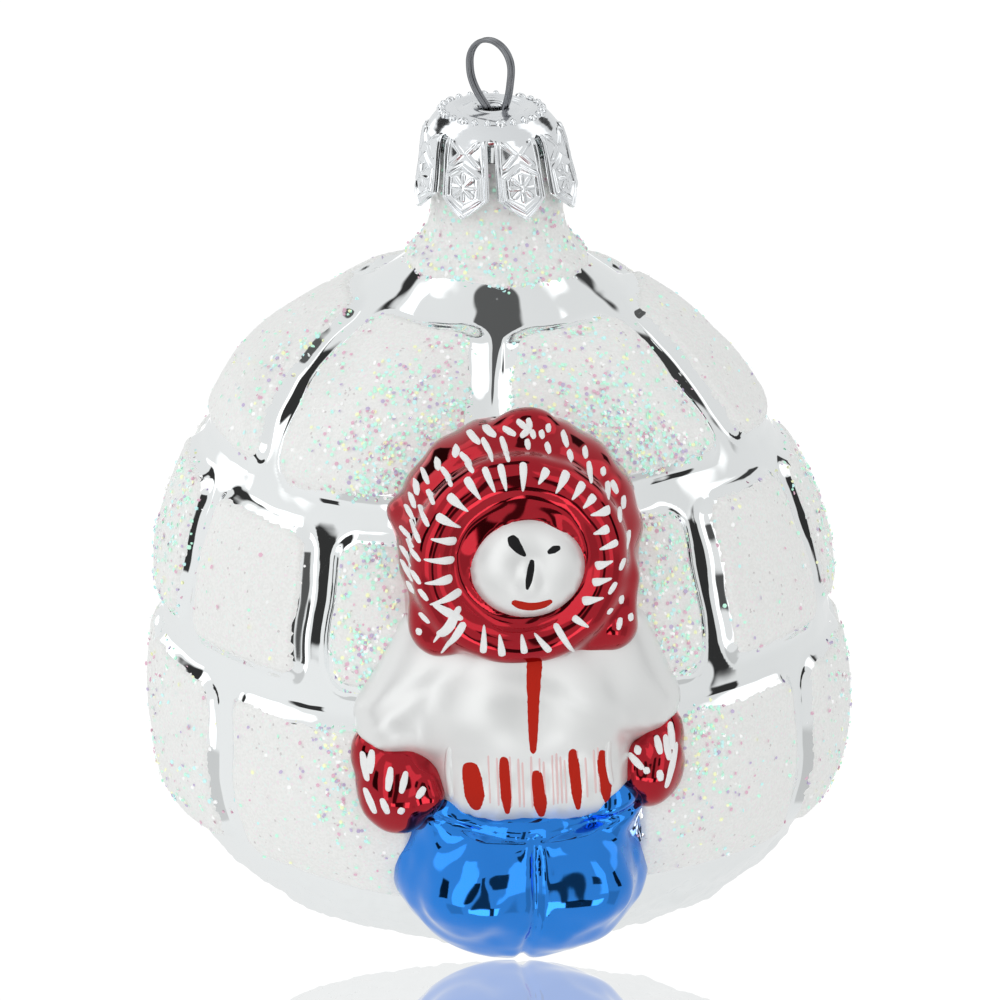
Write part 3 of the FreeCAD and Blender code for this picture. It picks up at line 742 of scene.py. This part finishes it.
# Long drops round the ruff: narrow end (x, z), wide end (x, z).
DROPS = [
    (-3.3, 24.8, -4.4, 27.3), (-2.2, 24.9, -2.8, 27.6), (-0.6, 24.8, -0.5, 27.8), (0.9, 25.6, 1.9, 27.1),
    (2.6, 24.6, 3.9, 26.7), (4.2, 23.9, 5.5, 25.5), (5.3, 23.0, 6.6, 24.2), (6.0, 22.3, 8.2, 22.6),
    (6.3, 20.3, 8.0, 20.9), (6.9, 18.7, 8.9, 19.4), (8.4, 17.5, 6.5, 16.9), (8.3, 15.7, 6.2, 15.2),
    (7.5, 13.7, 5.2, 13.3), (6.0, 10.6, 4.3, 11.8), (4.9, 7.1, 2.5, 11.2), (0.5, 10.2, 2.2, 8.1),
    (-0.7, 10.1, -0.4, 8.0), (-2.9, 10.2, -2.6, 7.7), (-4.4, 11.2, -4.5, 8.0), (-8.6, 7.4, -6.3, 11.7),
    (-9.4, 8.7, -6.7, 13.3), (-9.9, 13.3, -6.5, 14.6), (-10.4, 15.6, -7.4, 16.0), (-10.5, 18.1, -7.2, 17.8),
    (-9.8, 20.2, -7.0, 19.8), (-6.6, 21.2, -9.2, 22.6), (-5.9, 22.9, -8.0, 24.6), (-4.7, 24.1, -6.2, 26.3),
]
# Short dabs over the hood: (x, z) and the angle they lie at.
DABS = [
    (-3.8, 28.2, 120), (-2.1, 28.3, 110), (0.2, 28.5, 95), (2.2, 28.1, 110), (-5.9, 27.1, 140),
    (-7.9, 25.7, 130), (-9.5, 23.7, 125), (-10.2, 21.9, 115), (-11.0, 20.2, 120), (-11.2, 18.3, 140),
    (-11.1, 16.0, 130), (-10.4, 14.3, 125), (4.4, 27.3, 110), (6.3, 25.8, 95), (8.1, 23.9, 100),
    (9.2, 21.5, 98), (10.1, 18.7, 85), (9.3, 16.9, 65), (8.3, 14.6, 60), (-3.4, 29.2, 155),
    (-1.5, 29.4, 155), (-5.0, 28.7, 160), (-6.8, 27.5, 60), (-8.6, 26.2, 80), (-9.8, 24.9, 110),
    (-10.7, 23.8, 90), (-11.1, 22.5, 110), (-11.4, 21.3, 125), (-11.8, 19.3, 140), (-11.9, 17.2, 120),
    (-11.8, 15.8, 120), (-11.5, 14.3, 110), (-10.2, 11.5, 130), (-10.7, 9.9, 90), (1.7, 29.1, 115),
    (4.0, 28.5, 115), (6.0, 27.1, 105), (7.7, 25.4, 110), (8.8, 23.8, 110), (-0.2, 30.0, 150),
    (0.8, 29.2, 110), (2.4, 29.5, 90), (9.7, 22.2, 95), (8.1, 12.0, 60), (9.1, 10.4, 75), (10.3, 10.8, 105),
    (9.3, 12.9, 90), (0.1, 29.4, 30), (0.5, 30.1, 100),
]
MITTEN_DABS = {
    -1: [(-16.1, -3.4, -15.7, -6.2), (-15.1, -3.1, -15.5, -5.4), (-16.0, -6.7, -14.9, -9.5),
         (-13.4, -4.3, -13.8, -6.8), (-11.9, -4.7, -12.5, -7.0), (-14.4, -7.4, -13.7, -9.3),
         (-10.1, -6.3, -10.9, -7.6), (-12.3, -8.4, -12.6, -9.2)],
    1: [(10.2, -3.9, 11.7, -5.4), (11.6, -5.6, 12.3, -5.4), (11.5, -3.8, 10.8, -3.5),
        (13.0, -2.3, 13.4, -4.0), (14.5, -1.3, 14.7, -3.8), (13.9, -2.3, 14.3, -4.7),
        (15.1, -3.0, 13.9, -7.8), (13.2, -5.4, 13.4, -6.7)],
}


def hood_paint():
    items = []
    for x0, z0, x1, z1 in DROPS:
        fat = 0.46 + 0.07 * math.sin(x0 * 5 + z1)
        items.append(([(x0, z0), (x1, z1)], [0.12, 0.28, fat, fat * 1.1]))
    for x, z, ang in DABS:
        a, half = math.radians(ang + 6 * math.sin(x * 3)), 0.58 + 0.18 * math.sin(x * 7 + z * 3)
        dx, dz = half * math.cos(a), half * math.sin(a)
        items.append(([(x - dx, z - dz), (x + dx, z + dz)], [0.22, 0.36, 0.27]))
    # A clot of paint where two drops ran together.
    items += [([(-9.6, 13.6), (-8.0, 12.6), (-6.4, 11.8)], [0.3, 0.55, 0.3]),
              ([(-9.0, 9.6), (-7.8, 11.2), (-7.3, 12.8)], [0.5, 0.6, 0.5])]
    strokes("ruff_strokes", hood, items, white_paint)
    for side, name in ((-1, "left"), (1, "right")):
        dabs = [([(a, b), (c, d)], [0.30, 0.44, 0.30]) for a, b, c, d in MITTEN_DABS[side]]
        strokes("mitten_strokes_" + name, lambda p, s=side: mitten(p, s), dabs, white_paint)


def clothes_paint():
    strokes("face_ink", face, [
        ([(-1.95, 20.8), (-1.35, 19.8), (-0.35, 18.75)], [0.46, 0.76, 0.56, 0.16]),
        ([(0.2, 18.7), (-0.1, 17.0), (-0.4, 15.3)], [0.30, 0.46, 0.42, 0.14]),
        ([(1.65, 19.0), (2.35, 19.3), (3.1, 19.4)], [0.22, 0.48, 0.24]),
    ], black_paint, 0.05)
    strokes("mouth", face, [([(-1.95, 14.2), (-0.9, 13.6), (0.3, 13.35), (1.4, 13.6), (2.35, 14.1)],
                             [0.42, 0.62, 0.62, 0.56, 0.34])], orange_paint, 0.06)
    strokes("zip", parka, [([(0.75, 7.8), (0.42, 3.2), (0.45, -3.0)], [1.15, 0.84, 0.66, 0.42])],
            orange_paint, 0.08)
    hem = [((-5.75, -3.3), (-5.0, -9.0), 1.22), ((-2.5, -2.3), (-1.95, -9.5), 0.70),
           ((0.7, -4.0), (1.5, -9.95), 0.86), ((4.3, -1.7), (5.1, -9.3), 0.68),
           ((7.3, -2.4), (8.05, -8.9), 0.78)]
    strokes("hem_stripes", parka, [([a, b], [w * 0.75, w, w, w * 0.35]) for a, b, w in hem], orange_paint,
            0.07)
    strokes("hem_relief", parka, [([(-7.7, -1.9), (-7.75, -5.0), (-7.4, -8.1)], [0.3, 0.42, 0.3]),
                                  ([(8.2, -1.8), (8.0, -3.9), (8.5, -6.7)], [0.3, 0.40, 0.3])],
            satin, 0.22)
    wash = []
    for x in np.arange(-4.0, 7.0, 0.42):
        top, low = -2.4 + 0.5 * math.sin(x * 3), -7.6 - 1.2 * math.cos(x * 0.25)
        if math.sin(x * 9.1) > -0.45:
            wash.append(([(x, top), (x + 0.3, low)], [0.16, 0.13 + 0.05 * math.sin(x * 5), 0.16]))
    strokes("hem_wash", parka, wash, pink_wash, 0.03)


hood_paint()
clothes_paint()


# ------------------------------------------------------------ crown cap
CAP_TOP = 52.8
HEAD = 51.1             # height of the heads of the slots between petals
# How far a petal stands off the axis, against the distance down from the heads.
PETAL_B = [-1.15, -0.7, -0.4, 0.1, 0.7, 1.8, 2.9, 4.0, 5.1, 6.2, 8]
PETAL_R = [5.38, 5.83, 6.08, 6.45, 6.8, 7.1, 7.33, 7.56, 7.8, 8.03, 8.3]
LOOP_TURN = 43.0        # turn of the hanger's plane, degrees
WIRE_R = 0.24


def petal_relief(a, b, w):
    """Stamped pattern of a petal: a across, b down from the slots' heads, w half width."""
    line = lambda d, t: np.exp(-(d / t) ** 2)
    rim = line(w - np.abs(a) - 0.26, 0.17)
    straps = line(np.abs(a) - (0.30 + 0.95 * np.abs(b - 1.45)), 0.22)
    straps = straps * smooth(0.1, 0.4, b) * smooth(2.9, 2.5, b)
    u, v = a, b - 4.75
    hexa = np.maximum(np.abs(u) / 1.72, 0.30 * np.abs(u) + 0.46 * np.abs(v))
    frame_line = line(hexa - 1, 0.11)
    ang, rr = np.arctan2(v, u), np.hypot(u, v)
    ray = line(rr * np.sin(ang * 4) / 4, 0.12) * smooth(1.5, 1.2, rr)
    hub = line(rr, 0.35)
    marks = np.broadcast_arrays(rim, straps, frame_line, 0.9 * ray, hub)
    return 0.26 * np.clip(np.maximum.reduce(marks), 0, 1)


def crown_cap():
    verts, faces, base = [], [], 0

    def add(p, f):
        nonlocal base
        verts.append(p.reshape(-1, 3))
        faces.append(f + base)
        base += verts[-1].shape[0]

    # Top: hole rim, dish, ring and rounded shoulder, closed underneath.
    prof = [(1.62, -0.75), (1.66, -0.35), (1.85, -0.08), (2.15, 0.04), (2.5, -0.10), (2.9, -0.30),
            (3.4, -0.34), (3.65, -0.14), (3.9, -0.04), (4.2, -0.10), (4.6, -0.22), (5.0, -0.40),
            (5.4, -0.64), (5.75, -0.95), (6.0, -1.3), (6.1, -1.7), (6.15, -2.4)]
    prof += [(r - 0.22, z - 0.14) for r, z in prof[::-1][:-1]]
    az = np.linspace(0, TAU, 192, endpoint=False)
    pr = np.array(prof)
    P = np.stack([pr[:, :1] * np.sin(az), pr[:, :1] * np.cos(az),
                  np.repeat(pr[:, 1:] + CAP_TOP, len(az), 1)], -1)
    dent = 0.09 * vnoise(P.reshape(-1, 3), 0.5, 91).reshape(P.shape[:2])
    P[..., 2] += dent
    add(P, grid_faces(len(prof), len(az), wrap=True))
    # Raised dots, every third one drawn out into a dash.
    for k in range(24):
        a = k * TAU / 24 + 0.1
        stretch = 1.9 if k % 3 == 0 else 1.0
        u, v = np.meshgrid(np.linspace(0, TAU, 12, endpoint=False), np.linspace(0, math.pi / 2, 5))
        q = np.stack([0.44 * np.sin(v) * np.cos(u), 0.33 * stretch * np.sin(v) * np.sin(u),
                      0.46 * np.cos(v)], -1)
        c, s_ = math.cos(a), math.sin(a)
        r = 5.05 + q[..., 0] + 0.4 * q[..., 2]
        add(np.stack([r * s_ + q[..., 1] * c, r * c - q[..., 1] * s_,
                      CAP_TOP - 0.46 - 0.55 * q[..., 0] + 0.9 * q[..., 2]], -1),
            grid_faces(5, 12, wrap=True, flip=True))
    # Petals, front and back sheets.
    nb, na = 110, 56
    for k in range(8):
        mid = math.radians(16 + 45 * k)
        flare = rng.uniform(-0.12, 0.12)
        b = np.linspace(-1.15, 7.95, nb)[:, None]
        r = np.interp(b, PETAL_B, PETAL_R) + flare * smooth(1, 8, b)
        slot_half = 0.36 * np.sqrt(np.clip(1 - np.clip(0.36 - b, 0, 0.36) ** 2 / 0.13, 0, 1)) * (b > 0)
        half_w = math.pi * r / 8 - slot_half - 0.16 * smooth(0.5, 6, b)
        tip = np.clip(1 - (b - 5.9) / 2.05, 0, 1)
        half_w = np.where(b > 5.9, half_w * tip ** 0.9 + 0.02, half_w)
        a = np.linspace(-1, 1, na)[None] * half_w
        rel = petal_relief(a, b, half_w) * smooth(0.0, 0.4, b)
        r = r - 0.22 * (a / 2.4) ** 2 * smooth(1, 5, b)
        ang = mid + a / (r * 1.0)
        for lift_by, flip in ((rel, False), (-0.2 + rel * 0.6, True)):
            rr = r + lift_by
            P = np.stack([rr * np.sin(ang), rr * np.cos(ang), HEAD - b + 0 * a], -1)
            add(P, grid_faces(nb, na, flip=flip))
    verts = np.concatenate(verts)
    verts[:, 0] -= 0.12 + 0.06 * (verts[:, 2] - 44)     # it sits a little askew
    make_mesh("cap_crown_metal", verts, np.concatenate(faces), cap_metal,
              replaces=["cap_crown"])


def tube(path, radius, sides=20):
    path = np.asarray(path, float)
    tan = np.gradient(path, axis=0)
    tan /= np.linalg.norm(tan, axis=1)[:, None]
    turn = math.radians(LOOP_TURN)
    n0 = np.array([-math.sin(turn), math.cos(turn), 0.0])
    side = np.cross(tan, n0)
    side /= np.linalg.norm(side, axis=1)[:, None]
    other = np.cross(tan, side)
    a = np.linspace(0, TAU, sides, endpoint=False)
    P = path[:, None] + radius * (side[:, None] * np.cos(a)[:, None] + other[:, None] * np.sin(a)[:, None])
    return P, grid_faces(len(path), sides, wrap=True)


def hanger():
    for name, off in (("front", 0.25), ("back", -0.25)):
        t = np.linspace(0, 1, 260)
        wide_z, hw, side_r, waist_z = 56.89, 2.65, 6.9, 52.4
        keys = [(-5.1, 42.5), (-3.1, 47.6), (-1.35, 51.6)]
        n = 30
        zs = np.linspace(waist_z, wide_z, n)
        xs = hw - side_r + np.sqrt(side_r ** 2 - (wide_z - zs) ** 2)
        arc = np.linspace(math.pi, 0, 60)
        pts = ([(x, z) for x, z in keys] + [(-x, z) for x, z in zip(xs, zs)]
               + [(hw * math.cos(a), wide_z + hw * math.sin(a)) for a in arc[1:-1]]
               + [(x, z) for x, z in zip(xs[::-1], zs[::-1])] + [(-x, z) for x, z in keys[::-1]])
        pts = np.array(pts)
        d = np.r_[0, np.cumsum(np.hypot(*np.diff(pts, axis=0).T))]
        line = np.stack([np.interp(t * d[-1], d, pts[:, i]) for i in (0, 1)], 1)
        for _ in range(3):
            line[1:-1] = (line[:-2] + 2 * line[1:-1] + line[2:]) / 4
        shift = off + 0.03 * np.sin(t * 17 + off)
        c, s_ = math.cos(math.radians(LOOP_TURN)), math.sin(math.radians(LOOP_TURN))
        # +x of the loop's plane turns towards the viewer; the loop leans a little to the left.
        tip = -0.75 * smooth(50, 56, line[:, 1])
        path = np.stack([line[:, 0] * c + shift * s_ + tip, line[:, 0] * s_ - shift * c, line[:, 1]], 1)
        P, f = tube(path, WIRE_R)
        make_mesh(f"hanger_wire_{name}", P.reshape(-1, 3), f, wire_metal,
                  replaces=[f"hanger_strand_{name}"])


crown_cap()
hanger()


# ------------------------------------------------------ camera and light
AZ, EL, DIST = -4.5, 18.0, 2500.0
TARGET = (0.2, 0.0, 11.46)


def aim():
    cam = bpy.data.objects.new("camera", bpy.data.cameras.new("camera"))
    bpy.context.collection.objects.link(cam)
    a, e = math.radians(AZ), math.radians(EL)
    back = Vector((math.sin(a) * math.cos(e), -math.cos(a) * math.cos(e), math.sin(e)))
    cam.location = Vector(to_row(TARGET)) + back * DIST * 0.001
    cam.rotation_mode = "QUATERNION"
    cam.rotation_quaternion = (-back).to_track_quat("-Z", "Y")
    cam.data.sensor_width = 36
    cam.data.lens = 36 * DIST / 100.0
    cam.data.clip_start, cam.data.clip_end = 0.05, 20
    bpy.context.scene.camera = cam
    return back


back = aim()


def world():
    w = bpy.data.worlds.new("tent")
    bpy.context.scene.world = w
    w.use_nodes = True
    nt = w.node_tree
    nt.nodes.clear()
    new, join_ = nt.nodes.new, nt.links.new

    def math_node(op, *vals):
        n = new("ShaderNodeMath")
        n.operation = op
        for k, v in enumerate(vals):
            if isinstance(v, (int, float)):
                n.inputs[k].default_value = v
            else:
                join_(v, n.inputs[k])
        return n.outputs[0]

    coord = new("ShaderNodeTexCoord")

    split = new("ShaderNodeSeparateXYZ")
    join_(coord.outputs["Generated"], split.inputs[0])
    compass = math_node("DEGREES", math_node("ARCTAN2", split.outputs["X"],
                                             math_node("MULTIPLY", split.outputs["Y"], -1.0)))
    height = math_node("DEGREES", math_node("ARCSINE", split.outputs["Z"]))

    def edge(value, reach, soft):
        ramp = new("ShaderNodeMapRange")
        ramp.interpolation_type = "SMOOTHSTEP"
        join_(value, ramp.inputs["Value"])
        for key, v in (("From Min", reach + soft), ("From Max", reach), ("To Min", 0), ("To Max", 1)):
            ramp.inputs[key].default_value = v
        return ramp.outputs["Result"]

    def pane(az, el, wide, tall, soft):
        """1 inside an upright window of the tent, 0 outside; half sizes in degrees."""
        turn = math_node("WRAP", math_node("SUBTRACT", compass, float(az)), 180.0, -180.0)
        rise = math_node("SUBTRACT", height, float(el))
        return math_node("MULTIPLY", edge(math_node("ABSOLUTE", turn), wide, soft),
                         edge(math_node("ABSOLUTE", rise), tall, soft))

    level = math_node("SUBTRACT", 0.81, math_node("MULTIPLY", split.outputs["X"], 0.06))
    level = math_node("SUBTRACT", level, math_node("MULTIPLY", split.outputs["Z"], 0.03))
    for az, el, wide, tall, soft, gain in LIGHTS:
        level = math_node("ADD", level, math_node("MULTIPLY", pane(az, el, wide, tall, soft), gain))
    for az, el, wide, tall, soft, keep in DARKS:
        level = math_node("MULTIPLY", level, math_node("SUBTRACT", 1.0,
                          math_node("MULTIPLY", pane(az, el, wide, tall, soft), 1 - keep)))
    light = new("ShaderNodeBackground")
    light.inputs["Color"].default_value = (0.985, 1.0, 1.0, 1)
    join_(level, light.inputs["Strength"])
    plain = new("ShaderNodeBackground")
    plain.inputs["Color"].default_value = (1, 1, 1, 1)
    plain.inputs["Strength"].default_value = 1.05
    path = new("ShaderNodeLightPath")
    mix = new("ShaderNodeMixShader")
    join_(path.outputs["Is Camera Ray"], mix.inputs["Fac"])
    join_(light.outputs[0], mix.inputs[1])
    join_(plain.outputs[0], mix.inputs[2])
    out = new("ShaderNodeOutputWorld")
    join_(mix.outputs[0], out.inputs["Surface"])


# (azimuth, elevation, half width, half height, softness, gain or what is kept), in degrees.
LIGHTS = [(-36, 14, 10, 32, 3, 0.75), (29, 12, 8, 30, 3, 0.65), (-100, 42, 14, 18, 6, 0.60),
          (100, 40, 12, 18, 6, 0.50), (175.5, -13.5, 6, 4, 2, 0.27), (-9, -38, 6, 7, 1.5, 1.6),
          (21, -38, 6, 7, 1.5, 1.6), (-134, 50, 16, 4, 2, 0.5), (-134, 8, 16, 4, 2, 0.5)]
DARKS = [(-4.5, -4, 4, 28, 3, 0.12), (-20, -1, 5, 9, 3, 0.06), (16, 9, 3.5, 8, 3, 0.10),
         (-70, 6, 5, 11, 2, 0.04), (80, 6, 5, 12, 2, 0.04), (0, 84, 180, 5, 2, 0.13),
         (-132, 29, 12, 11, 3, 0.04), (131, 23, 6, 7, 3, 0.06), (5.5, -38, 6, 8, 1.5, 0.08),
         (-50, -35, 16, 12, 6, 0.72), (60, -30, 16, 12, 6, 0.72)]
world()


GRAZE = 1.6     # degrees between the camera's line and the sheet under the ornament


def table():
    """Glossy sheet, nearly edge-on below the ornament as the camera sees it."""
    m = bpy.data.materials.new("table_gloss")
    m.use_nodes = True
    nt = m.node_tree
    nt.nodes.clear()
    shine = nt.nodes.new("ShaderNodeBsdfGlossy")
    shine.inputs["Roughness"].default_value = 0.0
    shine.inputs["Color"].default_value = (1, 1, 1, 1)
    glow = nt.nodes.new("ShaderNodeEmission")
    mix = nt.nodes.new("ShaderNodeMixShader")
    mix.inputs["Fac"].default_value = 0.66
    out = nt.nodes.new("ShaderNodeOutputMaterial")
    nt.links.new(glow.outputs[0], mix.inputs[1])
    nt.links.new(shine.outputs[0], mix.inputs[2])
    nt.links.new(mix.outputs[0], out.inputs["Surface"])
    turn, tilt = math.radians(AZ), math.radians(EL - GRAZE)
    forward = np.array([math.sin(turn) * math.cos(tilt), math.cos(turn) * math.cos(tilt), math.sin(tilt)])
    far = np.array([0, 34.9, -25.15])
    near = far + forward * 330
    side = np.array([math.cos(turn), -math.sin(turn), 0]) * 150
    obj = make_mesh("table", np.array([far - side, far + side, near + side, near - side]), [(3, 2, 1, 0)], m,
                    body=None)
    obj.visible_diffuse = obj.visible_glossy = obj.visible_shadow = False


table()
scene = bpy.context.scene
scene.view_settings.view_transform = "Standard"
scene.view_settings.look = "None"
scene.render.film_transparent = False
scene.cycles.max_bounces = 8
scene.cycles.glossy_bounces = 6
scene.cycles.sample_clamp_indirect = 6.0
